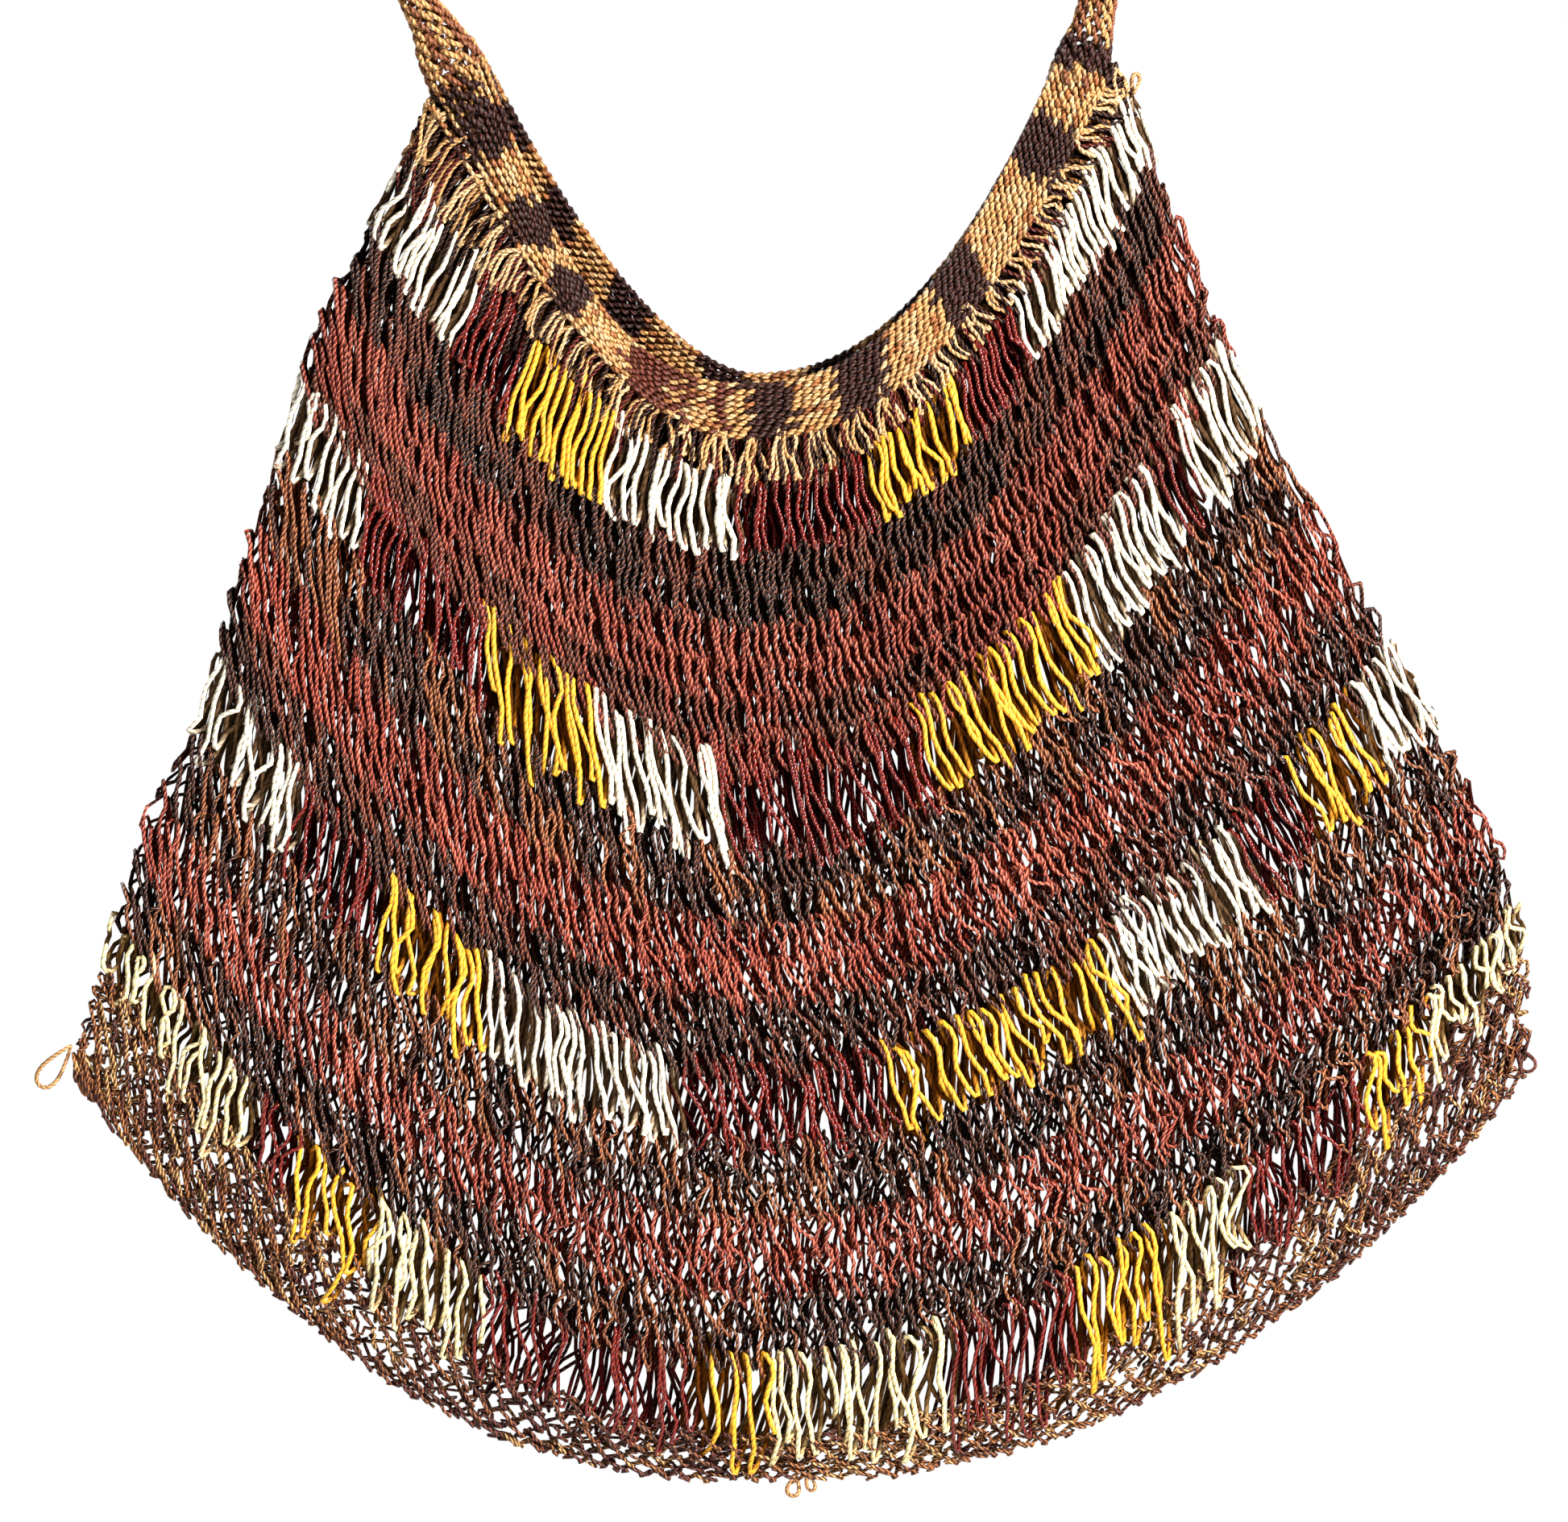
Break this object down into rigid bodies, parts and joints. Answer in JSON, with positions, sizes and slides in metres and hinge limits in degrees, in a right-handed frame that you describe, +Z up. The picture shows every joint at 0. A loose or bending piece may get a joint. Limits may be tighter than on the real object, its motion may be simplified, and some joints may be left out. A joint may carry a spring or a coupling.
{
  "type": "looped string bag",
  "caption": "Empty looped string bag hanging by its strap, with a sagging mouth, a close-worked rim band and belts of long open loops.",
  "frame": {"origin": "the underside of the strap's crown, where a peg, shoulder or forehead carries the bag", "axes": "+Z up along the hang of the bag, +X to the viewer's right across its face, +Y through the bag from its front to its back"},
  "size_m": [0.4381, 0.04, 0.7138],
  "materials": {
    "body_yarn": "two-ply bast fibre yarn in russet, dark brown and oxblood, with belts of cream and yellow wrapped yarn",
    "band_yarn": "two-ply natural tan fibre yarn with near-black blocks, closely looped",
    "strap_yarn": "two-ply natural tan and brown fibre yarn, drawn together into a narrow band"
  },
  "bodies": {
    "root": {"net_body": "body_yarn", "mouth_band": "band_yarn", "strap": "strap_yarn"}
  },
  "joints": []
}
